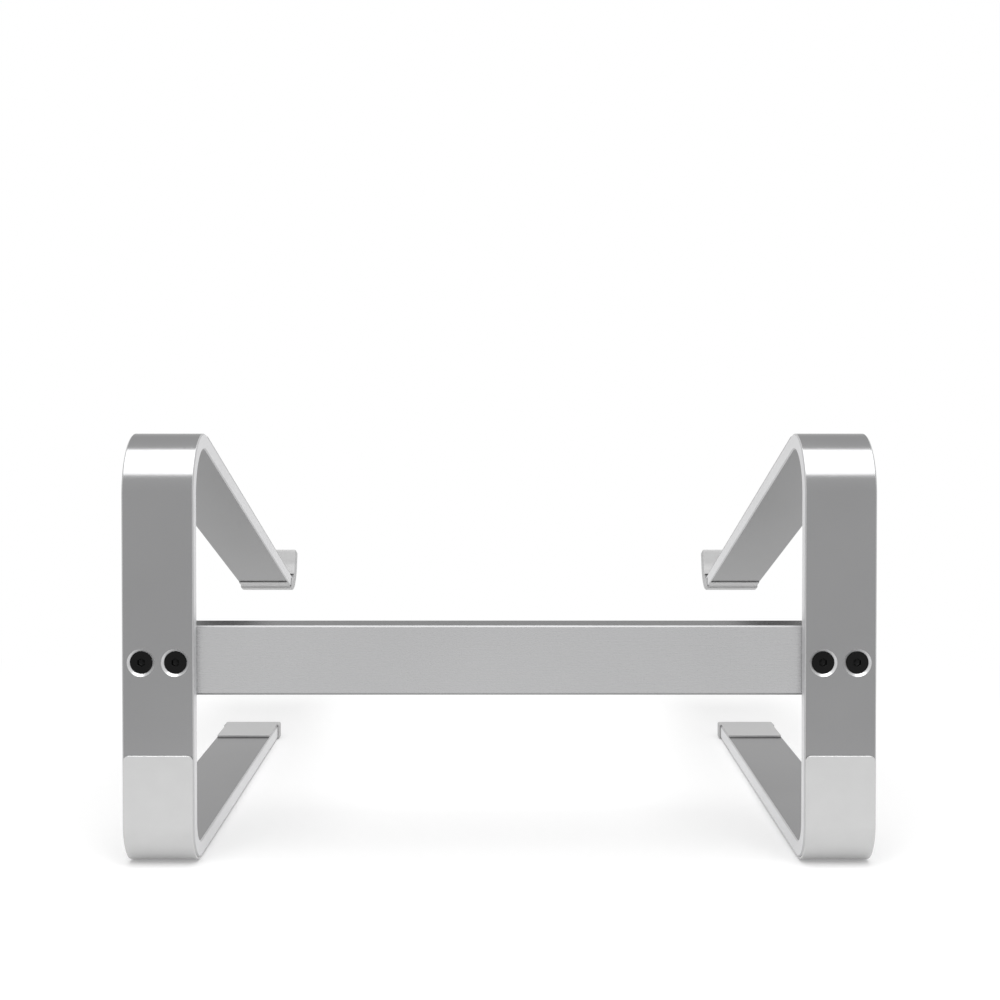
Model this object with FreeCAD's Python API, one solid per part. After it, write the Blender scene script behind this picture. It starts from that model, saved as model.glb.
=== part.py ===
# Laptop stand: two legs bent from flat aluminium bar, joined by one crossbar.
#
# Frame: +Z up from the table, +X to the stand's right, -Y towards the user.
# The origin is under the middle of the stand's footprint, at table level.
# Side profiles are drawn as (depth, height): depth is counted forward from the rear
# face of the uprights, height from the table. Sizes in millimetres, angles in degrees.

import FreeCAD, Part
import math
import os

# Overall
OVERALL_WIDTH = 260.0
OVERALL_HEIGHT = 150.0

# Flat bar of the legs
BAR_WIDTH = 24.8
BAR_THICKNESS = 5.6
EDGE_CHAMFER = 0.4
FOOT_LENGTH = 216.8
HEEL_RADIUS = 9.0
SHOULDER_RADIUS = 15.4
ARM_SLOPE = 18.1
HOOK_DEPTH = 273.5
HOOK_RADIUS = 9.0
LIP_HEIGHT = 15.0

# Crossbar on the front faces of the uprights
CROSSBAR_HEIGHT = 24.3
CROSSBAR_DEPTH = 13.0
CROSSBAR_CENTRE = 71.5
CROSSBAR_INSET = 1.0
CROSSBAR_CHAMFER = 0.6

# Countersunk socket screws, two through each upright
SCREW_SPACING = 11.8
SCREW_DIAMETER = 4.0
SCREW_LENGTH = 12.0
SCREW_PITCH = 0.7
THREAD_HEIGHT = 0.43
TIP_CHAMFER = 0.6
HEAD_DIAMETER = 7.9
HEAD_CONE_ANGLE = 90.0
HEAD_RECESS = 0.75
SOCKET_WIDTH = 2.5
SOCKET_DEPTH = 1.6
TAPPED_DEPTH = 8.5
DRILL_POINT = 1.2
SCREW_CLEARANCE = 0.1
SEAT_CLEARANCE = 0.02

# Silicone pads, all lying a glue film off the metal
PAD_THICKNESS = 0.8
PAD_INSET = 0.35
PAD_CORNER = 2.0
GLUE_FILM = 0.05
HEEL_PAD_TOP = 39.5
HEEL_PAD_FLAP = 2.0

# Cap over the end of the foot
TOE_TOP_FLAP = 31.9
TOE_UNDER_FLAP = 30.0
TOE_POCKET = 7.0
TOE_SIDE_WALL = 0.7
TOE_NOSE_RADIUS = 1.5

# Sleeve over the lip
HOOK_OUTER_WALL = 0.5
HOOK_LINING = 1.0
HOOK_SIDE_WALL = 0.4
HOOK_FLAP = 23.4
HOOK_POCKET = 12.6
HOOK_SIDE_DROP = 1.3
HOOK_CORNER = 2.0

# Strip on top of the arm
ARM_PAD_START = 8.0
ARM_PAD_END_GAP = 16.0

# Smallest length told apart when picking edges
TOLERANCE = 1e-3

# Places that follow from the sizes above
slope = math.radians(ARM_SLOPE)
heel_outer = HEEL_RADIUS + BAR_THICKNESS
shoulder_outer = SHOULDER_RADIUS + BAR_THICKNESS
shoulder_height = OVERALL_HEIGHT - shoulder_outer
half_gap = OVERALL_WIDTH / 2 - BAR_WIDTH
leg_centre = half_gap + BAR_WIDTH / 2
pad_start = half_gap + PAD_INSET
pad_width = BAR_WIDTH - 2 * PAD_INSET
foot_top = PAD_THICKNESS + BAR_THICKNESS


def arm_top(depth):
    """Height of the arm's upper face at a depth."""
    over_bend = shoulder_height + shoulder_outer / math.cos(slope)
    return over_bend - (depth - shoulder_outer) * math.tan(slope)


def on_hook(along, above):
    """A point counted from the inner corner of the hook, along and square to the arm."""
    depth = HOOK_DEPTH + along * math.cos(slope) + above * math.sin(slope)
    height = arm_top(HOOK_DEPTH) - along * math.sin(slope) + above * math.cos(slope)
    return (depth, height)


# Corners of the bar's outer face, from the toe to the end of the lip.
# The metal lies to the right of this path.
toe = (FOOT_LENGTH, PAD_THICKNESS)
heel_corner = (0.0, PAD_THICKNESS)
shoulder_corner = (0.0, arm_top(0.0))
hook_corner = on_hook(0.0, 0.0)
lip_end = on_hook(0.0, LIP_HEIGHT)


def direction(start, end):
    """Unit vector from one side-plane point to another."""
    length = math.hypot(end[0] - start[0], end[1] - start[1])
    return ((end[0] - start[0]) / length, (end[1] - start[1]) / length)


def right_of(vector):
    """The unit vector to the right of a direction."""
    return (vector[1], -vector[0])


def moved(point, vector, distance):
    """A point moved a distance along a vector."""
    return (point[0] + vector[0] * distance, point[1] + vector[1] * distance)


def bend(before, corner, after, radius, offset):
    """Three points of a bend at an offset to the right; the radius is the path's own."""
    into = direction(before, corner)
    out = direction(corner, after)
    side = 1.0 if into[0] * out[1] < into[1] * out[0] else -1.0
    normal_in = right_of(into)
    normal_out = right_of(out)
    both = (normal_in[0] + normal_out[0], normal_in[1] + normal_out[1])
    spread = 1 + normal_in[0] * normal_out[0] + normal_in[1] * normal_out[1]
    centre = moved(corner, both, side * radius / spread)
    reach = offset - side * radius
    middle = direction((0.0, 0.0), both)
    return [moved(centre, normal, reach) for normal in (normal_in, middle, normal_out)]


def offset_run(points, radii, offset):
    """Straight runs (two points) and bends (three points) parallel to a path."""
    runs = []
    start = moved(points[0], right_of(direction(points[0], points[1])), offset)
    for index, radius in enumerate(radii):
        arc = bend(points[index], points[index + 1], points[index + 2], radius, offset)
        runs += [[start, arc[0]], arc]
        start = arc[2]
    last = right_of(direction(points[-2], points[-1]))
    runs.append([start, moved(points[-1], last, offset)])
    return runs


def space(point, x):
    """A side-plane point as a point in space."""
    return FreeCAD.Vector(x, -point[0], point[1])


def extruded(runs, x, width):
    """A closed outline of runs and bends, extruded along X from x."""
    edges = []
    for run in runs:
        ends = [space(point, x) for point in run]
        curve = Part.LineSegment(*ends) if len(ends) == 2 else Part.Arc(*ends)
        edges.append(curve.toShape())
    face = Part.Face(Part.Wire(Part.__sortEdges__(edges)))
    return face.extrude(FreeCAD.Vector(width, 0, 0))


def band(points, radii, near, far, x, width):
    """The strip between two offsets of a path, extruded along X from x."""
    inner = offset_run(points, radii, near)
    outer = offset_run(points, radii, far)
    first_end = [outer[0][0], inner[0][0]]
    last_end = [inner[-1][-1], outer[-1][-1]]
    return extruded(inner + outer + [first_end, last_end], x, width)


def prism(corners, x, width):
    """A straight-sided outline extruded along X from x."""
    closed = corners + corners[:1]
    return extruded([[start, end] for start, end in zip(closed, closed[1:])], x, width)


def block(depths, heights, x, width):
    """A box between two depths and two heights."""
    corner = FreeCAD.Vector(x, -depths[1], heights[0])
    return Part.makeBox(width, depths[1] - depths[0], heights[1] - heights[0], corner)


def edges_along(shape, way, wanted):
    """Straight edges parallel to a direction whose middle passes a test."""
    found = []
    for item in shape.Edges:
        start = item.Vertexes[0].Point
        end = item.Vertexes[-1].Point
        span = end - start
        if span.Length > TOLERANCE and span.cross(way).Length < TOLERANCE * span.Length:
            if wanted((start + end) * 0.5):
                found.append(item)
    return found


def mirrored(shape):
    """The same piece on the other side of the stand."""
    return shape.mirror(FreeCAD.Vector(0, 0, 0), FreeCAD.Vector(1, 0, 0))


def screw_places():
    """The X of each screw of the right leg, the inner one first."""
    return [leg_centre - SCREW_SPACING / 2, leg_centre + SCREW_SPACING / 2]


def turned(profile, x):
    """A solid turned about a screw's axis from (radius, depth) points."""
    points = [FreeCAD.Vector(x + radius, -depth, CROSSBAR_CENTRE) for radius, depth in profile]
    face = Part.Face(Part.makePolygon(points + points[:1]))
    return face.revolve(FreeCAD.Vector(x, 0, CROSSBAR_CENTRE), FreeCAD.Vector(0, 1, 0), 360)


def cone_end():
    """Depth at which the screw's head has tapered to its shank."""
    taper = math.tan(math.radians(HEAD_CONE_ANGLE / 2))
    return HEAD_RECESS + (HEAD_DIAMETER - SCREW_DIAMETER) / 2 / taper


def countersink(x):
    """Through hole in the upright, its cone open to the rear face round the sunk head."""
    half_angle = math.radians(HEAD_CONE_ANGLE / 2)
    radius = SCREW_DIAMETER / 2 + SCREW_CLEARANCE
    axial_play = SEAT_CLEARANCE / math.sin(half_angle)
    depth = cone_end() + axial_play - SCREW_CLEARANCE / math.tan(half_angle)
    mouth = radius + depth * math.tan(half_angle)
    past_front = 2 * BAR_THICKNESS
    return turned([(0, -BAR_THICKNESS), (mouth, -BAR_THICKNESS), (mouth, 0),
                   (radius, depth), (radius, past_front), (0, past_front)], x)


def tapped_hole(x):
    """Blind hole in the crossbar for a screw's thread."""
    radius = SCREW_DIAMETER / 2 + SCREW_CLEARANCE
    bottom = BAR_THICKNESS + TAPPED_DEPTH
    return turned([(0, 0), (radius, 0), (radius, bottom), (0, bottom + DRILL_POINT)], x)


def socket(x):
    """The hexagonal socket in a screw's head."""
    corner_radius = SOCKET_WIDTH / math.sqrt(3)
    corners = []
    for index in range(6):
        turn = math.radians(60 * index)
        corners.append(FreeCAD.Vector(x + corner_radius * math.cos(turn), -HEAD_RECESS,
                                      CROSSBAR_CENTRE + corner_radius * math.sin(turn)))
    mouth = Part.Face(Part.makePolygon(corners + corners[:1]))
    return mouth.extrude(FreeCAD.Vector(0, -SOCKET_DEPTH, 0))


def screw(x):
    """One countersunk socket screw, its thread drawn as rings."""
    radius = SCREW_DIAMETER / 2
    tip = HEAD_RECESS + SCREW_LENGTH
    shoulder = tip - TIP_CHAMFER
    profile = [(0, HEAD_RECESS), (HEAD_DIAMETER / 2, HEAD_RECESS), (radius, cone_end())]
    depth = cone_end() + SCREW_PITCH
    while depth + SCREW_PITCH < shoulder:
        profile += [(radius, depth), (radius - THREAD_HEIGHT, depth + SCREW_PITCH / 2)]
        depth += SCREW_PITCH
    profile += [(radius, depth), (radius, shoulder), (radius - TIP_CHAMFER, tip), (0, tip)]
    return turned(profile, x).cut(socket(x))


def leg():
    """The right leg: foot, upright, arm and hook in one bent bar."""
    points = [toe, heel_corner, shoulder_corner, hook_corner, lip_end]
    radii = [heel_outer, shoulder_outer, HOOK_RADIUS]
    bar = band(points, radii, 0, BAR_THICKNESS, half_gap, BAR_WIDTH)
    sides = [face for face in bar.Faces if abs(face.normalAt(0, 0).x) > 1 - TOLERANCE]
    bar = bar.makeChamfer(EDGE_CHAMFER, [rim for face in sides for rim in face.Edges])
    for x in screw_places():
        bar = bar.cut(countersink(x))
    return bar


def crossbar():
    """The bar across the front of both uprights."""
    half_length = OVERALL_WIDTH / 2 - CROSSBAR_INSET
    bottom = CROSSBAR_CENTRE - CROSSBAR_HEIGHT / 2
    bar = block((BAR_THICKNESS, BAR_THICKNESS + CROSSBAR_DEPTH),
                (bottom, bottom + CROSSBAR_HEIGHT), -half_length, 2 * half_length)
    bar = bar.makeChamfer(CROSSBAR_CHAMFER, bar.Edges)
    for x in screw_places():
        hole = tapped_hole(x)
        bar = bar.cut(hole).cut(mirrored(hole))
    return bar


def heel_pad():
    """Strip from the back of the upright round the bend to just under the foot."""
    points = [(heel_outer + HEEL_PAD_FLAP, PAD_THICKNESS), heel_corner, (0.0, HEEL_PAD_TOP)]
    pad = band(points, [heel_outer], -PAD_THICKNESS, -GLUE_FILM, pad_start, pad_width)
    corners = edges_along(pad, FreeCAD.Vector(0, 1, 0),
                          lambda middle: middle.z > HEEL_PAD_TOP - TOLERANCE)
    return pad.makeFillet(PAD_CORNER, corners)


def toe_cap():
    """Cap over the end of the foot, with a flap above and a flap below."""
    end = FOOT_LENGTH + PAD_THICKNESS
    top = foot_top + PAD_THICKNESS
    lap = end - TOE_NOSE_RADIUS - TOE_SIDE_WALL
    pocket = block((end - TOE_POCKET, end), (0, top), half_gap - TOE_SIDE_WALL,
                   BAR_WIDTH + 2 * TOE_SIDE_WALL)

    def at_end(middle):
        return abs(middle.y + end) < TOLERANCE

    nose = edges_along(pocket, FreeCAD.Vector(1, 0, 0), at_end)
    nose += edges_along(pocket, FreeCAD.Vector(0, 0, 1), at_end)
    pocket = pocket.makeFillet(TOE_NOSE_RADIUS, nose)
    upper = block((end - TOE_TOP_FLAP, lap), (foot_top, top), pad_start, pad_width)
    corners = edges_along(upper, FreeCAD.Vector(0, 0, 1), lambda middle: middle.y > -lap + TOLERANCE)
    upper = upper.makeFillet(PAD_CORNER, corners)
    under = block((end - TOE_UNDER_FLAP, lap), (0, PAD_THICKNESS), pad_start, pad_width)
    hollow = block((0, FOOT_LENGTH + GLUE_FILM),
                   (PAD_THICKNESS - GLUE_FILM, foot_top + GLUE_FILM),
                   half_gap - GLUE_FILM, BAR_WIDTH + 2 * GLUE_FILM)
    return pocket.fuse([upper, under]).cut(hollow).removeSplitter()


def hook_shell():
    """Outside of the sleeve round the lip, its sides dropping clear of the arm's top."""
    outside = BAR_THICKNESS + HOOK_OUTER_WALL
    points = [on_hook(-HOOK_POCKET, 0.0), hook_corner, on_hook(0.0, LIP_HEIGHT + HOOK_LINING)]
    shell = band(points, [HOOK_RADIUS], -HOOK_LINING, outside,
                 half_gap - HOOK_SIDE_WALL, BAR_WIDTH + 2 * HOOK_SIDE_WALL)
    top = on_hook(0.0, LIP_HEIGHT)[1] - outside * math.sin(slope)
    forward = FreeCAD.Vector(0, -math.cos(slope), -math.sin(slope))
    rounded = edges_along(shell, forward, lambda middle: middle.z > top)
    shell = shell.makeFillet(HOOK_CORNER, rounded)
    mid_bend = HOOK_RADIUS * (1 - math.sqrt(0.5))
    slant = [on_hook(-HOOK_POCKET, -HOOK_SIDE_DROP), on_hook(-mid_bend, mid_bend),
             on_hook(-HOOK_RADIUS, HOOK_RADIUS), on_hook(-HOOK_FLAP, HOOK_RADIUS),
             on_hook(-HOOK_FLAP, -HOOK_SIDE_DROP)]
    return shell.cut(prism(slant, 0.0, OVERALL_WIDTH))


def hook_sleeve():
    """Sleeve over the lip, with a flap running back under the arm."""
    flap = band([on_hook(-HOOK_FLAP, 0.0), on_hook(-HOOK_RADIUS, 0.0)], [],
                BAR_THICKNESS, BAR_THICKNESS + HOOK_OUTER_WALL, pad_start, pad_width)
    hollow = band([on_hook(-HOOK_FLAP - HOOK_CORNER, 0.0), hook_corner,
                   on_hook(0.0, LIP_HEIGHT + GLUE_FILM)], [HOOK_RADIUS],
                  -GLUE_FILM, BAR_THICKNESS + GLUE_FILM,
                  half_gap - GLUE_FILM, BAR_WIDTH + 2 * GLUE_FILM)
    return hook_shell().fuse(flap).cut(hollow).removeSplitter()


def arm_pad():
    """Strip on top of the arm, under the computer."""
    start = shoulder_outer + ARM_PAD_START
    end = HOOK_DEPTH - ARM_PAD_END_GAP
    pad = band([(start, arm_top(start)), (end, arm_top(end))], [], -PAD_THICKNESS, -GLUE_FILM,
               pad_start, pad_width)
    across = FreeCAD.Vector(0, -math.sin(slope), math.cos(slope))
    return pad.makeFillet(PAD_CORNER, edges_along(pad, across, lambda middle: True))


def all_pieces():
    """Every piece by its name, both sides of the stand."""
    found = {"crossbar": crossbar()}
    for name, make in (("leg", leg), ("heel_pad", heel_pad), ("toe_cap", toe_cap),
                       ("hook_sleeve", hook_sleeve), ("arm_pad", arm_pad)):
        shape = make()
        found[name + "_right"] = shape
        found[name + "_left"] = mirrored(shape)
    for name, x in zip(("inner", "outer"), screw_places()):
        shape = screw(x)
        found["screw_right_" + name] = shape
        found["screw_left_" + name] = mirrored(shape)
    return found


def main():
    """Centre the stand over the origin and write one file for each piece."""
    found = all_pieces()
    whole = Part.makeCompound(list(found.values())).BoundBox
    to_middle = FreeCAD.Vector(0, -(whole.YMin + whole.YMax) / 2, 0)
    os.makedirs("parts", exist_ok=True)
    for name, shape in found.items():
        piece = shape.Solids[0] if len(shape.Solids) == 1 else shape
        piece = piece.translated(to_middle)
        piece.exportStep("parts/%s.step" % name)
        box = piece.BoundBox
        print("%-20s %d solid %s %8.1f mm3  x %.2f %.2f  y %.2f %.2f  z %.2f %.2f" % (
            name, len(shape.Solids), piece.isValid(), piece.Volume,
            box.XMin, box.XMax, box.YMin, box.YMax, box.ZMin, box.ZMax))


main()
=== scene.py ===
from math import cos, pi, radians, sin, sqrt, tan

import bpy
import numpy as np
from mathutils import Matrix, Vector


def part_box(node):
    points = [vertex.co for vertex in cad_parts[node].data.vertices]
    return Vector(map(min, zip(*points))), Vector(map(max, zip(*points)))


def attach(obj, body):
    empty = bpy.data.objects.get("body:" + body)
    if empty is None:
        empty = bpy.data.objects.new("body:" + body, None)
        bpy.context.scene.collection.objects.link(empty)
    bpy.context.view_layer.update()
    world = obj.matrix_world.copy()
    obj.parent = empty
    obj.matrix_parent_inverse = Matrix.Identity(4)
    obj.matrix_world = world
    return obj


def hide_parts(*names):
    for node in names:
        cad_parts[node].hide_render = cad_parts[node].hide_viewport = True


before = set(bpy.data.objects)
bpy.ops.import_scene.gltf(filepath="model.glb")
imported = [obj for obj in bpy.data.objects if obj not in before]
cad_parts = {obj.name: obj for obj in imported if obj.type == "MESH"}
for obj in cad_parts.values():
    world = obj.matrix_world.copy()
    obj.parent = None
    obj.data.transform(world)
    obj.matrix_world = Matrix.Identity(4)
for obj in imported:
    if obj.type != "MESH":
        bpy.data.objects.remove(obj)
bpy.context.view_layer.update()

legLow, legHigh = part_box("leg_right")
rearY = legHigh.y
mm = 0.001

# the bent bar, measured along its outer face from the toe to the tip of the lip
bar = {
    "thickness": 5.6 * mm,
    "width": legHigh.x - legLow.x,
    "centreX": (legLow.x + legHigh.x) / 2,
    "chamfer": 0.4 * mm,
    "softEdge": 0.12 * mm,
    "heelRadius": 9.0 * mm,
    "shoulderRadius": 15.4 * mm,
    "hookRadius": 9.0 * mm,
    "hookDepth": 273.5 * mm,
    "lipHeight": 15.0 * mm,
    "armSlope": radians(18.1),
    "footLength": 216.8 * mm,
    "arcStep": radians(2.0),
    "leastArcSteps": 8,
    "straightSteps": 6,
    "placeDigits": 7,
}

print("stage: path of the bar")


def armTop(depth):
    # height of the arm's upper face: the shoulder's tangent line, falling with the slope
    outer = bar["shoulderRadius"] + bar["thickness"]
    height = legHigh.z - outer + outer / cos(bar["armSlope"])
    return height - (depth - outer) * tan(bar["armSlope"])


def makeRuns():
    # straight runs joined by tangent arcs; each run keeps its start, heading and length
    slope = bar["armSlope"]
    hook = np.array([bar["hookDepth"], armTop(bar["hookDepth"])])
    tip = hook + np.array([sin(slope), cos(slope)]) * bar["lipHeight"]
    points = np.array([[bar["footLength"], legLow.z], [0.0, legLow.z], [0.0, armTop(0.0)],
                       hook, tip])
    radii = [bar["heelRadius"] + bar["thickness"], bar["shoulderRadius"] + bar["thickness"],
             bar["hookRadius"]]
    ways = np.diff(points, axis=0)
    ways = ways / np.linalg.norm(ways, axis=1)[:, None]
    made, along, start = [], 0.0, points[0]
    for i, radius in enumerate(radii):
        into, out = ways[i], ways[i + 1]
        turn = np.arctan2(into[0] * out[1] - into[1] * out[0], into @ out)
        cut = radius * tan(abs(turn) / 2)
        end = points[i + 1] - into * cut
        length = np.linalg.norm(end - start)
        made.append({"at": along, "length": length, "start": start, "way": into, "turn": 0.0})
        along += length
        made.append({"at": along, "length": radius * abs(turn), "start": end, "way": into,
                     "turn": turn, "radius": radius})
        along += radius * abs(turn)
        start = points[i + 1] + out * cut
    length = np.linalg.norm(points[-1] - start)
    made.append({"at": along, "length": length, "start": start, "way": ways[-1], "turn": 0.0})
    return made


runs = makeRuns()
upright, arm, hookBend, lip = runs[2], runs[4], runs[5], runs[6]
barLength = lip["at"] + lip["length"]


def onBar(s, h, x, side):
    # the point s along the outer face and h below it: start + heading * s + normal * h on a run,
    # centre + turned normal * (h -+ radius) on an arc; depth and height become y and z
    s, h, x = np.broadcast_arrays(np.asarray(s, float), np.asarray(h, float), np.asarray(x, float))
    flat = np.zeros(s.shape + (2,))
    for i, run in enumerate(runs):
        low = -np.inf if i == 0 else run["at"]
        high = np.inf if i == len(runs) - 1 else run["at"] + run["length"]
        here = (s >= low) & (s < high)
        t = (s - run["at"])[here]
        normal = np.array([run["way"][1], -run["way"][0]])
        if run["turn"] == 0.0:
            flat[here] = run["start"] + t[:, None] * run["way"] + h[here][:, None] * normal
        else:
            sign = -1.0 if run["turn"] < 0 else 1.0
            centre = run["start"] - normal * run["radius"] * sign
            angle = sign * t / run["radius"]
            turned = np.stack([normal[0] * np.cos(angle) - normal[1] * np.sin(angle),
                               normal[0] * np.sin(angle) + normal[1] * np.cos(angle)], -1)
            flat[here] = centre + turned * (h[here] + sign * run["radius"])[:, None]
    return np.stack([side * x, rearY - flat[..., 0], flat[..., 1]], -1)


def pathRows(first, last):
    # places along the bar: a few on each straight run, close together round the bends
    found = [first, last]
    for run in runs:
        count = bar["straightSteps"]
        if run["turn"] != 0.0:
            count = max(bar["leastArcSteps"], int(abs(run["turn"]) / bar["arcStep"]))
        found += list(run["at"] + run["length"] * np.linspace(0, 1, count + 1))
    found = np.array(sorted(set(np.round(found, bar["placeDigits"]))))
    slack = 10.0 ** -bar["placeDigits"]
    return found[(found >= first - slack) & (found <= last + slack)]


def quarterRound(radius, count=6):
    # a quarter circle as insets from the two sides that meet
    a = np.linspace(0, pi / 2, count + 1)
    return np.stack([radius * (1 - np.sin(a)), radius * (1 - np.cos(a))], -1)


def softChamfer(size, soft, count=3):
    # a 45 degree chamfer whose two edges are arcs of the soft radius
    a = np.linspace(0, pi / 4, count + 1)
    lead = size + soft * tan(pi / 8)
    first = np.stack([lead - soft * np.sin(a), soft * (1 - np.cos(a))], -1)
    return np.concatenate([first, first[::-1, ::-1]])


def loopRound(halfLong, halfShort, corner, longSteps=5, shortSteps=3):
    # a closed section: straight sides with points close to their ends, and four shaped corners;
    # zone is 0 on the long sides, 1 on the corners and 2 on the short sides
    closeShare = 0.006

    def between(p, q, count):
        inside = np.linspace(0, 1, count + 2)[1:-1]
        t = np.concatenate([[closeShare], inside, [1 - closeShare]])
        return p + (q - p) * t[:, None]
    size = np.array([halfLong, halfShort])
    topRight = size - corner
    signs = np.array([[1, 1], [1, -1], [-1, -1], [-1, 1]])
    turned = [(topRight * g)[:: (1 if i % 2 == 0 else -1)] for i, g in enumerate(signs)]
    parts, zone = [], []
    for i in range(4):
        count = shortSteps if i % 2 == 0 else longSteps
        straight = between(turned[i][-1], turned[(i + 1) % 4][0], count)
        parts += [turned[i], straight]
        zone += [1] * (len(turned[i]) - 1) + [2 if i % 2 == 0 else 0] * (len(straight) + 1)
    return np.concatenate(parts), np.array(zone)


def sectionLengths(loop):
    # length along a closed section from its first point, back to that point
    steps = np.linalg.norm(np.diff(np.concatenate([loop, loop[:1]]), axis=0), axis=1)
    return np.concatenate([[0], np.cumsum(steps)])


def meshFrom(name, grid, uv=None, columnSlot=None):
    # a grid closed round its second direction, with flat ends, as one closed mesh
    rows, columns = grid.shape[:2]
    index = np.arange(rows * columns).reshape(rows, columns)
    after = np.roll(index, -1, axis=1)
    quads = np.stack([index[:-1], after[:-1], after[1:], index[1:]], -1).reshape(-1, 4)
    faces = quads.tolist() + [index[0][::-1].tolist(), index[-1].tolist()]
    mesh = bpy.data.meshes.new(name)
    mesh.from_pydata(grid.reshape(-1, 3).tolist(), [], faces)
    if uv is not None:
        corners = np.stack([uv[:-1, :-1], uv[:-1, 1:], uv[1:, 1:], uv[1:, :-1]], 2).reshape(-1, 2)
        ends = np.concatenate([uv[0, :-1][::-1], uv[-1, :-1]])
        layer = mesh.uv_layers.new(name="alongBar")
        layer.data.foreach_set("uv", np.concatenate([corners, ends]).astype(np.float32).ravel())
    if columnSlot is not None:
        slots = np.concatenate([np.tile(columnSlot, rows - 1), [0, 0]]).astype(np.int32)
        mesh.polygons.foreach_set("material_index", slots)
    mesh.validate()
    # the sign of the enclosed volume says whether the faces look outwards
    a, b, c = grid[:-1], np.roll(grid, -1, 1)[:-1], np.roll(grid, -1, 1)[1:]
    middle = grid.reshape(-1, 3).mean(0)
    volume = np.einsum("ijk,ijk->", a - middle, np.cross(b - middle, c - middle))
    if volume < 0:
        mesh.flip_normals()
    return mesh


sharpAngle = 32.0


def pieceFrom(name, mesh, materials, smoothAngle=sharpAngle):
    for m in materials:
        mesh.materials.append(m)
    mesh.polygons.foreach_set("use_smooth", np.ones(len(mesh.polygons), bool))
    mesh.set_sharp_from_angle(angle=radians(smoothAngle))
    piece = bpy.data.objects.new(name, mesh)
    bpy.context.scene.collection.objects.link(piece)
    return piece


def cutBy(piece, cutters, smoothAngle=sharpAngle):
    # takes the cutters' shapes out of the piece, which keeps the cutters' finish on the new walls
    for cutter in cutters:
        cut = piece.modifiers.new("cut", "BOOLEAN")
        cut.object = cutter
        cut.operation = "DIFFERENCE"
        cut.solver = "EXACT"
        cut.material_mode = "TRANSFER"
    depsgraph = bpy.context.evaluated_depsgraph_get()
    mesh = bpy.data.meshes.new_from_object(piece.evaluated_get(depsgraph))
    piece.modifiers.clear()
    piece.data = mesh
    mesh.set_sharp_from_angle(angle=radians(smoothAngle))
    for cutter in cutters:
        bpy.data.objects.remove(cutter)


print("stage: materials")

# the part of a noise's range that is spread over a change of tone or roughness
noiseSpan = (0.3, 0.7)
everyWay = (1, 1, 1)
metalLook = {"cloudScale": 22.0, "blueShare": 1.01, "reliefDepth": 0.01 * mm}
siliconeLook = {
    "coat": 0.25,
    "coatRoughness": 0.3,
    "mottleScale": 140.0,
    "skinScale": 5200.0,
    "skinDetail": 2.0,
    "relief": 0.25,
    "reliefDepth": 0.02 * mm,
}


def newMaterial(name, **values):
    made = bpy.data.materials.new(name)
    made.use_nodes = True
    shader = made.node_tree.nodes["Principled BSDF"]
    for key, value in values.items():
        shader.inputs[key].default_value = value
    return made, made.node_tree.nodes, made.node_tree.links, shader


def grain(nodes, links, source, stretch, scale, detail=4.0):
    # noise on stretched coordinates
    where = nodes.new("ShaderNodeTexCoord")
    mapping = nodes.new("ShaderNodeMapping")
    mapping.inputs["Scale"].default_value = stretch
    noise = nodes.new("ShaderNodeTexNoise")
    noise.inputs["Scale"].default_value = scale
    noise.inputs["Detail"].default_value = detail
    links.new(where.outputs[source], mapping.inputs["Vector"])
    links.new(mapping.outputs["Vector"], noise.inputs["Vector"])
    return noise.outputs["Fac"]


def ranged(nodes, links, value, low, high):
    # a number from low to high over the noise's span
    mapRange = nodes.new("ShaderNodeMapRange")
    mapRange.inputs["From Min"].default_value = noiseSpan[0]
    mapRange.inputs["From Max"].default_value = noiseSpan[1]
    mapRange.inputs["To Min"].default_value = low
    mapRange.inputs["To Max"].default_value = high
    links.new(value, mapRange.inputs["Value"])
    return mapRange.outputs["Result"]


def mixed(nodes, links, value, dark, light):
    # a colour from dark to light over the noise's span
    ramp = nodes.new("ShaderNodeValToRGB")
    ramp.color_ramp.elements[0].position = noiseSpan[0]
    ramp.color_ramp.elements[1].position = noiseSpan[1]
    ramp.color_ramp.elements[0].color = (*dark, 1)
    ramp.color_ramp.elements[1].color = (*light, 1)
    links.new(value, ramp.inputs["Fac"])
    return ramp.outputs["Color"]


def bumped(nodes, links, shader, value, strength, distance):
    bump = nodes.new("ShaderNodeBump")
    bump.inputs["Strength"].default_value = strength
    bump.inputs["Distance"].default_value = distance
    links.new(value, bump.inputs["Height"])
    links.new(bump.outputs["Normal"], shader.inputs["Normal"])


def metal(name, tone, roughness, source, stretch, grainScale, bump, grazingShade=1.0):
    # cloudy tone, drawn grain in the gloss and a trace of it in the relief; a Specular Tint below
    # 1 is painted shade, which keeps the metal from brightening at a grazing angle
    made, nodes, links, shader = newMaterial(name, Metallic=1.0)
    shader.inputs["Specular Tint"].default_value = (grazingShade,) * 3 + (1,)
    cloud = grain(nodes, links, "Object", everyWay, metalLook["cloudScale"])
    lines = grain(nodes, links, source, stretch, grainScale)
    dark, light = [(t, t, t * metalLook["blueShare"]) for t in tone]
    links.new(mixed(nodes, links, cloud, dark, light), shader.inputs["Base Color"])
    links.new(ranged(nodes, links, lines, *roughness), shader.inputs["Roughness"])
    bumped(nodes, links, shader, lines, bump, metalLook["reliefDepth"])
    return made


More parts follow.
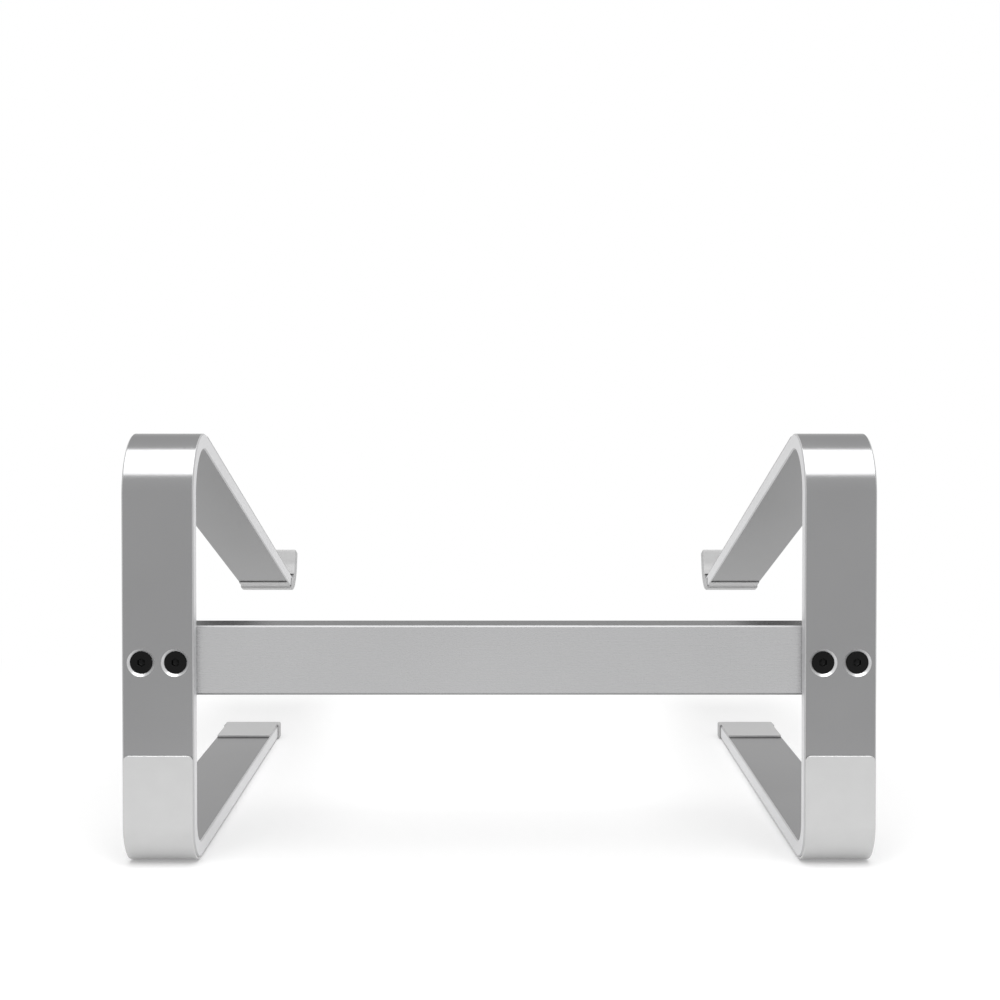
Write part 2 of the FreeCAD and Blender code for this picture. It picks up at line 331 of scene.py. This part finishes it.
def silicone(name, tone, roughness, sheenThrough):
    # moulded silicone: faint mottling, a fine matt skin and a soft coat; sheenThrough is how much
    # of the metal's own sheen comes through a thin film
    made, nodes, links, shader = newMaterial(name, **{
        "Metallic": sheenThrough,
        "Coat Weight": siliconeLook["coat"],
        "Coat Roughness": siliconeLook["coatRoughness"],
    })
    mottle = grain(nodes, links, "Object", everyWay, siliconeLook["mottleScale"])
    skin = grain(nodes, links, "Object", everyWay, siliconeLook["skinScale"],
                 siliconeLook["skinDetail"])
    dark, light = [(t, t, t) for t in tone]
    links.new(mixed(nodes, links, mottle, dark, light), shader.inputs["Base Color"])
    links.new(ranged(nodes, links, mottle, *roughness), shader.inputs["Roughness"])
    bumped(nodes, links, shader, skin, siliconeLook["relief"], siliconeLook["reliefDepth"])
    return made


# tone and roughness are each a low and a high; drawn grain is noise that changes slowly along
# the bar and fast across it, while turned and blackened parts have it the same every way
legFinish = {
    "tone": (0.285, 0.300),
    "roughness": (0.17, 0.20),
    # painted shade: the tint below 1 darkens the leg's reflection where it is seen at a slant
    "grazingShade": 0.70,
    "source": "UV",
    "stretch": (40, 5200, 1),
    "grainScale": 1.0,
    "bump": 0.02,
}
millFinish = {
    "tone": (0.69, 0.72),
    "roughness": (0.50, 0.56),
    "source": "UV",
    "stretch": (60, 5200, 1),
    "grainScale": 1.0,
    "bump": 0.03,
}
cutFinish = {**millFinish, "tone": (0.48, 0.52), "roughness": (0.40, 0.46), "bump": 0.04}
seatFinish = {
    "tone": (0.62, 0.66),
    "roughness": (0.34, 0.40),
    "source": "Object",
    "stretch": everyWay,
    "grainScale": 3800.0,
    "bump": 0.05,
}
crossbarFinish = {
    "tone": (0.47, 0.49),
    "roughness": (0.26, 0.28),
    # painted shade: the low tint keeps the crossbar's top dark
    "grazingShade": 0.34,
    "source": "Object",
    "stretch": (30, 4200, 4200),
    "grainScale": 1.0,
    "bump": 0.004,
}
# painted shade: a darker copy of the crossbar's finish on its chamfers, so they show no highlight
# line
crossbarPaintedShadeEdgeLook = {
    **crossbarFinish,
    "tone": (0.32, 0.35),
    "roughness": (0.48, 0.54),
    "bump": 0.03,
}
screwFinish = {
    "tone": (0.011, 0.018),
    "roughness": (0.22, 0.34),
    "source": "Object",
    "stretch": everyWay,
    "grainScale": 2600.0,
    "bump": 0.2,
}
heelFinish = {"tone": (0.59, 0.61), "roughness": (0.17, 0.20), "sheenThrough": 0.35}
capFinish = {"tone": (0.47, 0.50), "roughness": (0.45, 0.55), "sheenThrough": 0.0}

satinLeg = metal("satin_leg", **legFinish)
milledSide = metal("milled_side", **millFinish)
cutEdge = metal("cut_edge", **cutFinish)
turnedSeat = metal("turned_seat", **seatFinish)
satinCrossbar = metal("satin_crossbar", **crossbarFinish)
crossbarPaintedShadeEdge = metal("crossbar_painted_shade_edge", **crossbarPaintedShadeEdgeLook)
blackSteel = metal("black_oxide", **screwFinish)
heelSilicone = silicone("heel_silicone", **heelFinish)
capSilicone = silicone("cap_silicone", **capFinish)

print("stage: screws and their seats")

screws = {
    "spacing": 11.8 * mm,
    "headRadius": 3.95 * mm,
    "recess": 0.75 * mm,
    "shankRadius": 2.0 * mm,
    "holeRadius": 2.1 * mm,
    "length": 12.0 * mm,
    "pitch": 0.7 * mm,
    "threadHeight": 0.43 * mm,
    "socketFlats": 2.5 * mm,
    "socketDepth": 1.6 * mm,
    "seatPlay": 0.02 * mm,
    "seatLip": 0.05 * mm,
    "tappedDepth": 14.1 * mm,
    "drillPoint": 1.2 * mm,
    "drillTip": 0.02 * mm,
    "headSoft": 0.1 * mm,
    "headFaceFirst": 0.12,
    "headFaceRows": 6,
    "headSoftRows": 5,
    "threadFrom": 0.3 * mm,
    "threadTo": 0.7 * mm,
    "threadRows": 96,
    "tipTaper": 0.6 * mm,
    "angles": 96,
    "smoothAngle": 28.0,
}
# the socket's wall as shares of the hexagon: depths past its floor, then past its mouth
socketFloor = [(0.05, 0.4 * mm), (0.8, 0.05 * mm), (0.96, -0.05 * mm), (1.0, -0.12 * mm)]
socketMouth = [(1.0, 0.15 * mm), (1.03, 0.04 * mm), (1.08, 0.0)]
screwHeight = (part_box("screw_right_inner")[0].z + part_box("screw_right_inner")[1].z) / 2


def turnedGrid(radius, depth, x, side):
    # radius(row, angle) and depth(row, angle) about a screw's axis
    angle = np.linspace(0, 2 * pi, screws["angles"], endpoint=False)[None, :]
    radius, depth, angle = np.broadcast_arrays(radius, depth, angle)
    return np.stack([side * (x + radius * np.cos(angle)), rearY - depth,
                     screwHeight + radius * np.sin(angle)], -1)


def seatCutter(x, side):
    # the head's cone carried on to the rear face, then the clearance hole
    play = screws["seatPlay"] * sqrt(2)
    coneEnd = screws["recess"] + screws["headRadius"] - screws["holeRadius"] + play
    past = bar["thickness"]
    edge = screws["seatLip"]
    mouth = screws["holeRadius"] + coneEnd
    profile = np.array([[mouth + edge, -past], [mouth + edge, 0.0], [mouth, edge],
                        [screws["holeRadius"], coneEnd], [screws["holeRadius"], 2 * past]])
    grid = turnedGrid(profile[:, 0:1], profile[:, 1:2], x, side)
    return pieceFrom("seat_cutter", meshFrom("seat_cutter", grid), [turnedSeat])


def tapCutter(x, side):
    # the blind hole in the crossbar, ending in the drill's point
    bottom = screws["tappedDepth"]
    profile = np.array([[screws["holeRadius"], 0.0], [screws["holeRadius"], bottom],
                        [screws["drillTip"], bottom + screws["drillPoint"]]])
    grid = turnedGrid(profile[:, 0:1], profile[:, 1:2], x, side)
    return pieceFrom("tap_cutter", meshFrom("tap_cutter", grid), [turnedSeat])


def screwGrid(x, side):
    # rows go from the socket's floor over the head and down the thread; the socket's radius is
    # half its flats / cos(angle from the nearest flat), the thread's is a tooth of
    # fraction(depth / pitch - angle / turn)
    angle = np.linspace(0, 2 * pi, screws["angles"], endpoint=False)[None, :]
    hexagon = screws["socketFlats"] / 2 / np.cos((angle + pi / 6) % (pi / 3) - pi / 6)
    circle = np.ones_like(angle)
    top = screws["recess"]
    floor = top + screws["socketDepth"]
    soft = screws["headSoft"]
    rows = [(share * hexagon, floor + past) for share, past in socketFloor]
    rows += [(share * hexagon, top + past) for share, past in socketMouth]
    mouth, rim = rows[-1][0], screws["headRadius"] - 2.0 * soft
    for t in np.linspace(screws["headFaceFirst"], 1, screws["headFaceRows"]):
        rows.append((mouth * (1 - t) + rim * circle * t, top))
    for a in np.linspace(0, pi / 2, screws["headSoftRows"])[1:]:
        rows.append(((rim + soft * sin(a)) * circle, top + soft * (1 - cos(a))))
    neck = top + screws["headRadius"] - screws["shankRadius"]
    rows.append((screws["shankRadius"] * circle, neck))
    tip = top + screws["length"]
    threaded = np.linspace(neck + screws["threadFrom"], tip - screws["threadTo"],
                           screws["threadRows"])
    for depth in threaded:
        phase = (depth / screws["pitch"] - angle / (2 * pi)) % 1.0
        tooth = 1 - np.abs(2 * phase - 1)
        rows.append((screws["shankRadius"] - screws["threadHeight"] * (1 - tooth), depth))
    rows.append(((screws["shankRadius"] - screws["tipTaper"]) * circle, tip))
    radius = np.concatenate([np.broadcast_to(r, angle.shape) for r, _ in rows])
    depth = np.array([d for _, d in rows])[:, None]
    return turnedGrid(radius, depth, x, side)


sides = {"right": 1.0, "left": -1.0}
places = {
    "inner": bar["centreX"] - screws["spacing"] / 2,
    "outer": bar["centreX"] + screws["spacing"] / 2,
}
for sideName, side in sides.items():
    for placeName, x in places.items():
        node = "screw_%s_%s" % (sideName, placeName)
        piece = pieceFrom(node + "_dressed", meshFrom(node, screwGrid(x, side)), [blackSteel],
                          screws["smoothAngle"])
        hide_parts(node)
        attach(piece, "root")

print("stage: legs and crossbar")


def insetRows(s, first, last, inset):
    # how far the section draws in near both ends: a straight chamfer of the inset's size
    return np.clip(inset - (s - first), 0, inset) + np.clip(inset - (last - s), 0, inset)


def legGrid(side):
    # the bar's chamfered section carried along its path, drawn in at both ends
    first, last = 0.0, barLength
    s = pathRows(first, last)
    s = np.unique(np.concatenate([s, [first + bar["chamfer"], last - bar["chamfer"]]]))
    draw = insetRows(s, first, last, bar["chamfer"])
    corner = softChamfer(bar["chamfer"], bar["softEdge"])
    loops = [loopRound(bar["width"] / 2 - d, bar["thickness"] / 2 - d, corner)[0] for d in draw]
    zone = loopRound(bar["width"] / 2, bar["thickness"] / 2, corner)[1]
    loops = np.array(loops)
    x = bar["centreX"] + loops[..., 0]
    h = bar["thickness"] / 2 - loops[..., 1]
    # the third row is past the end chamfer, so it is the full section
    uv = np.stack(np.broadcast_arrays(s[:, None], sectionLengths(loops[2])[None, :]), -1)
    return onBar(s[:, None], h, x, side), uv, zone


for sideName, side in sides.items():
    node = "leg_" + sideName
    grid, uv, slots = legGrid(side)
    piece = pieceFrom(node + "_dressed", meshFrom(node, grid, uv, slots),
                      [satinLeg, cutEdge, milledSide])
    cutBy(piece, [seatCutter(x, side) for x in places.values()])
    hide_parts(node)
    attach(piece, "root")

crossLow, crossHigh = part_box("crossbar")
crossbarLook = {"chamfer": 0.6 * mm, "softEdge": 0.45 * mm, "steps": 14}


def crossbarGrid():
    # the bar's section in y and z carried along x, drawn in at both ends
    half = (crossHigh.x - crossLow.x) / 2
    size = crossbarLook["chamfer"]
    inside = np.linspace(-half, half, crossbarLook["steps"])[1:-1]
    x = np.concatenate([[-half, -half + size], inside, [half - size, half]])
    draw = insetRows(x, -half, half, size)
    corner = softChamfer(size, crossbarLook["softEdge"])
    halfY, halfZ = (crossHigh.y - crossLow.y) / 2, (crossHigh.z - crossLow.z) / 2
    loops = np.array([loopRound(halfZ - d, halfY - d, corner)[0] for d in draw])
    zone = loopRound(halfZ, halfY, corner)[1]
    y = (crossHigh.y + crossLow.y) / 2 + loops[..., 1]
    z = (crossHigh.z + crossLow.z) / 2 + loops[..., 0]
    uv = np.stack(np.broadcast_arrays(x[:, None], sectionLengths(loops[2])[None, :]), -1)
    return np.stack([np.broadcast_to(x[:, None], y.shape), y, z], -1), uv, zone % 2


grid, uv, slots = crossbarGrid()
piece = pieceFrom("crossbar_dressed", meshFrom("crossbar", grid, uv, slots),
                  [satinCrossbar, crossbarPaintedShadeEdge])
cutBy(piece, [tapCutter(x, side) for side in sides.values() for x in places.values()])
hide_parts("crossbar")
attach(piece, "root")

print("stage: silicone strips")

strips = {
    "inset": 0.35 * mm,
    "film": 0.05 * mm,
    "thickness": 0.8 * mm,
    "edge": 0.28 * mm,
    "flapEdge": 0.03 * mm,
    "corner": 2.0 * mm,
    "heelTop": 39.5 * mm,
    "heelFlap": 2.0 * mm,
    "armStart": 8.0 * mm,
    "armEndGap": 16.0 * mm,
    "edgeRows": 7,
    "edgeSteps": 4,
    "edgeShare": 0.85,
    "leastEdge": 0.03 * mm,
    "cornerFirst": 0.1,
    "cornerRows": 12,
    "longSteps": 9,
    "placeDigits": 8,
    "smoothAngle": 38.0,
}


def stripGrid(first, last, low, high, corner, side, edgeRadius=strips["edge"]):
    # a thin rounded section between two heights over the bar, carried along it; near its ends the
    # half width falls as corner - sqrt(corner^2 - (corner - t)^2), and the edge rolls over
    near = np.concatenate([
        np.linspace(0, 1, strips["edgeRows"]) ** 2 * strips["edge"],
        np.linspace(strips["cornerFirst"], 1, strips["cornerRows"]) * corner])
    s = np.concatenate([pathRows(first, last), first + near, last - near])
    s = np.unique(np.round(s, strips["placeDigits"]))
    t = np.minimum(s - first, last - s)
    narrow = corner - np.sqrt(np.clip(corner ** 2 - np.clip(corner - t, 0, corner) ** 2, 0, None))
    halfShort = abs(high - low) / 2
    rim = min(edgeRadius, strips["edgeShare"] * halfShort)
    roll = np.clip(rim - t, 0, rim)
    roll = rim - np.sqrt(np.clip(rim ** 2 - roll ** 2, 0, None))
    half = bar["width"] / 2 - strips["inset"]
    loops = []
    for n, r in zip(narrow, roll):
        corners = quarterRound(max(rim - r, strips["leastEdge"]), strips["edgeSteps"])
        loops.append(loopRound(half - n, halfShort - r, corners, strips["longSteps"], 1)[0])
    loops = np.array(loops)
    x = bar["centreX"] + loops[..., 0]
    return onBar(s[:, None], (low + high) / 2 - loops[..., 1], x, side)


def alongFoot(depth):
    return bar["footLength"] - depth


def alongUpright(height):
    return upright["at"] + height - upright["start"][1]


def alongArm(depth):
    return arm["at"] + (depth - arm["start"][0]) / cos(bar["armSlope"])


def addSilicone(node, meshes, material):
    # joins the closed shells that make up one silicone part
    shells = [pieceFrom(node + "_shell", m, [material], strips["smoothAngle"]) for m in meshes]
    with bpy.context.temp_override(active_object=shells[0], selected_editable_objects=shells):
        if len(shells) > 1:
            bpy.ops.object.join()
    shells[0].name = node + "_dressed"
    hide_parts(node)
    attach(shells[0], "root")


heelOuter = bar["heelRadius"] + bar["thickness"]
shoulderOuter = bar["shoulderRadius"] + bar["thickness"]
for sideName, side in sides.items():
    low, high = -strips["thickness"], -strips["film"]
    grid = stripGrid(alongFoot(heelOuter + strips["heelFlap"]), alongUpright(strips["heelTop"]),
                     low, high, strips["corner"], side)
    addSilicone("heel_pad_" + sideName, [meshFrom("heel_pad", grid)], heelSilicone)
    grid = stripGrid(alongArm(shoulderOuter + strips["armStart"]),
                     alongArm(bar["hookDepth"] - strips["armEndGap"]),
                     low, high, strips["corner"], side)
    addSilicone("arm_pad_" + sideName, [meshFrom("arm_pad", grid)], capSilicone)

print("stage: toe caps and hook sleeves")

toeCap = {
    "mouth": 6.2 * mm,
    "end": -0.8 * mm,
    "sideWall": 0.7 * mm,
    "topWall": 0.8 * mm,
    "underWall": 0.8 * mm,
    "corner": 0.9 * mm,
    "nose": 1.5 * mm,
    "topFlap": 31.1 * mm,
    "underFlap": 29.2 * mm,
    "flapThickness": 0.77 * mm,
    "flapCorner": 0.8 * mm,
    "lap": 2.0 * mm,
}
hookSleeve = {
    "reach": 12.6 * mm,
    "drop": 1.3 * mm,
    "flap": 23.4 * mm,
    "sideWall": 0.4 * mm,
    "lining": 1.0 * mm,
    "outerWall": 0.5 * mm,
    "end": 1.0 * mm,
    "corner": 0.7 * mm,
    "nose": 1.0 * mm,
    "flapDip": 0.04 * mm,
    "flapCorner": 0.5 * mm,
    "lap": 2.0 * mm,
}
# how finely both sleeves are drawn, and the small rounds that they share
sleeveSkin = {
    "innerCorner": 0.45 * mm,
    "leastCorner": 0.08 * mm,
    "mouthBulge": 0.25 * mm,
    "cornerSteps": 6,
    "longSteps": 9,
    "shortSteps": 18,
    "insideRows": 22,
    "mouthRows": 8,
    "outsideRows": 26,
    "noseRows": 8,
}


def sleeveGrid(mouthAt, closeAt, lining, sideWall, lowWall, highWall, corner, nose, side):
    # one skin from the inside of the closed end, out through the mouth and back over the outside;
    # mouthAt(h) gives where the mouth lies for each place round the section, lining is the gap to
    # the metal, and way is +1 or -1 towards the closed end
    way = np.sign(closeAt - mouthAt(0.0))
    midH = bar["thickness"] / 2
    film = strips["film"]
    halfH = midH + (lowWall + highWall) / 2
    shift = (highWall - lowWall) / 2

    def section(halfLong, halfShort, radius):
        corners = quarterRound(radius, sleeveSkin["cornerSteps"])
        return loopRound(halfLong, halfShort, corners, sleeveSkin["longSteps"],
                         sleeveSkin["shortSteps"])[0]

    def outerLoop(inset):
        radius = max(corner - inset, sleeveSkin["leastCorner"])
        made = section(bar["width"] / 2 + sideWall - inset, halfH - inset, radius)
        return made + np.array([0, -shift])
    inner = section(bar["width"] / 2 + film, midH + film, sleeveSkin["innerCorner"])
    outer = outerLoop(0.0)
    mouth = mouthAt(np.clip(midH - inner[:, 1], 0, bar["thickness"]))
    innerClose = closeAt - way * lining
    rows = []
    for t in np.linspace(1, 0, sleeveSkin["insideRows"]):
        rows.append((inner, mouth + (innerClose - mouth) * t))
    for k in np.linspace(0, 1, sleeveSkin["mouthRows"])[1:-1]:
        bulge = sleeveSkin["mouthBulge"] * sin(pi * k)
        rows.append((inner * (1 - k) + outer * k, mouth - way * bulge))
    straightEnd = closeAt - way * nose
    for t in np.linspace(0, 1, sleeveSkin["outsideRows"]):
        rows.append((outer, mouth + (straightEnd - mouth) * t))
    for a in np.linspace(0, pi / 2, sleeveSkin["noseRows"])[1:]:
        end = np.full(len(mouth), straightEnd + way * nose * sin(a))
        rows.append((outerLoop(nose * (1 - cos(a))), end))
    loops = np.array([loop for loop, _ in rows])
    s = np.array([np.broadcast_to(at, mouth.shape) for _, at in rows])
    return onBar(s, midH - loops[..., 1], bar["centreX"] + loops[..., 0], side)


def toeMouth(h):
    # square to the foot
    return np.full(np.shape(h), toeCap["mouth"])


def hookMouth(h):
    # behind the bend under the arm, then a slant up the side to the middle of the bend on top
    back = hookBend["at"] + bar["hookRadius"] - hookSleeve["reach"]
    top = hookBend["at"] + hookBend["length"] / 2
    return np.interp(h, [0.0, hookSleeve["drop"]], [top, back])


for sideName, side in sides.items():
    film, topH = strips["film"], bar["thickness"]
    cap = sleeveGrid(toeMouth, toeCap["end"], -toeCap["end"] - film, toeCap["sideWall"],
                     toeCap["topWall"], toeCap["underWall"], toeCap["corner"], toeCap["nose"],
                     side)
    lapAt = toeCap["mouth"] - toeCap["lap"]
    top = stripGrid(lapAt, toeCap["topFlap"], topH + film, topH + toeCap["flapThickness"],
                    toeCap["flapCorner"], side, strips["flapEdge"])
    under = stripGrid(lapAt, toeCap["underFlap"], -toeCap["flapThickness"], -film,
                      toeCap["flapCorner"], side, strips["flapEdge"])
    addSilicone("toe_cap_" + sideName, [meshFrom("toe_cap", g) for g in (cap, top, under)],
                capSilicone)

    sleeve = sleeveGrid(hookMouth, barLength + hookSleeve["end"], hookSleeve["end"] - film,
                        hookSleeve["sideWall"], hookSleeve["outerWall"], hookSleeve["lining"],
                        hookSleeve["corner"], hookSleeve["nose"], side)
    back = hookBend["at"] + bar["hookRadius"]
    flap = stripGrid(back - hookSleeve["flap"], back - hookSleeve["reach"] + hookSleeve["lap"],
                     topH + film, topH + hookSleeve["outerWall"] - hookSleeve["flapDip"],
                     hookSleeve["flapCorner"], side, strips["flapEdge"])
    addSilicone("hook_sleeve_" + sideName, [meshFrom("hook_sleeve", g) for g in (sleeve, flap)],
                capSilicone)

print("stage: floor, light and camera")

studio = {
    "floorHalf": 6.0,
    "floorPoints": 9,
    "floorTone": 0.80,
    "floorLift": 0.24,
    "floorFade": (0.20, 0.42),
    "white": 1.0,
    "fill": 0.50,
    "keyPower": 23.0,
    "keySize": (1.4, 1.65),
    "keyDistance": 1.6,
    "keyAzimuth": 0.0,
    "keyElevation": 64.0,
    "keyCentre": (0.0, 0.0, 0.08),
}


def larger(nodes, links, first, second):
    node = nodes.new("ShaderNodeMath")
    node.operation = "MAXIMUM"
    links.new(first, node.inputs[0])
    links.new(second, node.inputs[1])
    return node.outputs[0]


def lightPathMix(nodes, links, plain, seen):
    # camera, glossy and transmission rays all see one background, the other rays the plain one
    path = nodes.new("ShaderNodeLightPath").outputs
    either = larger(nodes, links, path["Is Camera Ray"], path["Is Glossy Ray"])
    either = larger(nodes, links, either, path["Is Transmission Ray"])
    mix = nodes.new("ShaderNodeMixShader")
    links.new(either, mix.inputs["Fac"])
    links.new(plain, mix.inputs[1])
    links.new(seen, mix.inputs[2])
    return mix.outputs[0]


def fade(nodes, links, value, reach):
    # smooth change from 0 to 1 as the value crosses the reach
    node = nodes.new("ShaderNodeMapRange")
    node.interpolation_type = "SMOOTHSTEP"
    node.inputs["From Min"].default_value = reach[0]
    node.inputs["From Max"].default_value = reach[1]
    links.new(value, node.inputs["Value"])
    return node.outputs["Result"]


def makeFloor():
    # one plain tone; seen directly or in metal it is lifted a little and fades to white far away
    half, count = studio["floorHalf"], studio["floorPoints"]
    steps = np.linspace(-half, half, count)
    gx, gy = np.meshgrid(steps, steps, indexing="ij")
    points = np.stack([gx, gy, np.zeros_like(gx)], -1).reshape(-1, 3)
    index = np.arange(count * count).reshape(count, count)
    quads = np.stack([index[:-1, :-1], index[1:, :-1], index[1:, 1:], index[:-1, 1:]], -1)
    quads = quads.reshape(-1, 4)
    mesh = bpy.data.meshes.new("floor")
    mesh.from_pydata(points.tolist(), [], quads.tolist())
    made = bpy.data.materials.new("pale_floor")
    made.use_nodes = True
    nodes, links = made.node_tree.nodes, made.node_tree.links
    nodes.remove(nodes["Principled BSDF"])
    where = nodes.new("ShaderNodeTexCoord")
    distance = nodes.new("ShaderNodeVectorMath")
    distance.operation = "LENGTH"
    links.new(where.outputs["Object"], distance.inputs[0])
    away = fade(nodes, links, distance.outputs["Value"], studio["floorFade"])
    plain = nodes.new("ShaderNodeBsdfDiffuse")
    plain.inputs["Color"].default_value = (studio["floorTone"],) * 3 + (1,)
    lift = nodes.new("ShaderNodeEmission")
    lift.inputs["Strength"].default_value = studio["floorLift"]
    both = nodes.new("ShaderNodeAddShader")
    links.new(plain.outputs[0], both.inputs[0])
    links.new(lift.outputs[0], both.inputs[1])
    white = nodes.new("ShaderNodeEmission")
    seen = nodes.new("ShaderNodeMixShader")
    links.new(away, seen.inputs["Fac"])
    links.new(both.outputs[0], seen.inputs[1])
    links.new(white.outputs[0], seen.inputs[2])
    surface = lightPathMix(nodes, links, plain.outputs[0], seen.outputs[0])
    links.new(surface, nodes["Material Output"].inputs["Surface"])
    mesh.materials.append(made)
    floor = bpy.data.objects.new("floor", mesh)
    bpy.context.scene.collection.objects.link(floor)


def makeWorld():
    # plain white for the camera and for what metal shows, a dimmer even fill for everything else
    world = bpy.data.worlds.new("studio")
    bpy.context.scene.world = world
    world.use_nodes = True
    nodes, links = world.node_tree.nodes, world.node_tree.links
    for node in list(nodes):
        nodes.remove(node)

    def background(strength):
        node = nodes.new("ShaderNodeBackground")
        node.inputs["Color"].default_value = (1, 1, 1, 1)
        node.inputs["Strength"].default_value = strength
        return node.outputs[0]
    surface = lightPathMix(nodes, links, background(studio["fill"]),
                           background(studio["white"]))
    output = nodes.new("ShaderNodeOutputWorld")
    links.new(surface, output.inputs["Surface"])


def makeLamp(name, power, size, distance, azimuth, elevation, centre):
    # an area lamp aimed at a centre; azimuth 0 stands behind the stand, on its +Y side
    lamp = bpy.data.lights.new(name, "AREA")
    lamp.shape = "RECTANGLE"
    lamp.size, lamp.size_y = size
    lamp.energy = power
    made = bpy.data.objects.new(name, lamp)
    bpy.context.scene.collection.objects.link(made)
    e, a = radians(elevation), radians(azimuth)
    way = np.array([sin(a) * cos(e), cos(a) * cos(e), sin(e)])
    made.location = np.array(centre) + way * distance
    made.rotation_euler = (radians(elevation - 90.0), 0.0, -a)
    return made


view = {
    "focalPixels": 1620.0,
    "framePixels": 1000.0,
    "axisPixel": (498.7, 424.1),
    "pitch": 1.1,
    "behind": 555.5 * mm,
    "height": 164.3 * mm,
    "sensor": 36.0,
    "clipStart": 10.0 * mm,
}


def makeCamera():
    data = bpy.data.cameras.new("camera")
    data.sensor_width = view["sensor"]
    data.lens = view["sensor"] * view["focalPixels"] / view["framePixels"]
    middle = (view["framePixels"] - 1) / 2
    data.shift_x = (middle - view["axisPixel"][0]) / view["framePixels"]
    data.shift_y = (view["axisPixel"][1] - middle) / view["framePixels"]
    data.clip_start = view["clipStart"]
    camera = bpy.data.objects.new("camera", data)
    bpy.context.scene.collection.objects.link(camera)
    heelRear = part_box("heel_pad_right")[1].y
    camera.location = (0.0, heelRear + view["behind"], view["height"])
    camera.rotation_euler = (radians(90.0 - view["pitch"]), 0.0, pi)
    bpy.context.scene.camera = camera


makeFloor()
makeWorld()
makeLamp("key", studio["keyPower"], studio["keySize"], studio["keyDistance"],
         studio["keyAzimuth"], studio["keyElevation"], studio["keyCentre"])
makeCamera()
bpy.context.scene.view_settings.view_transform = "Standard"
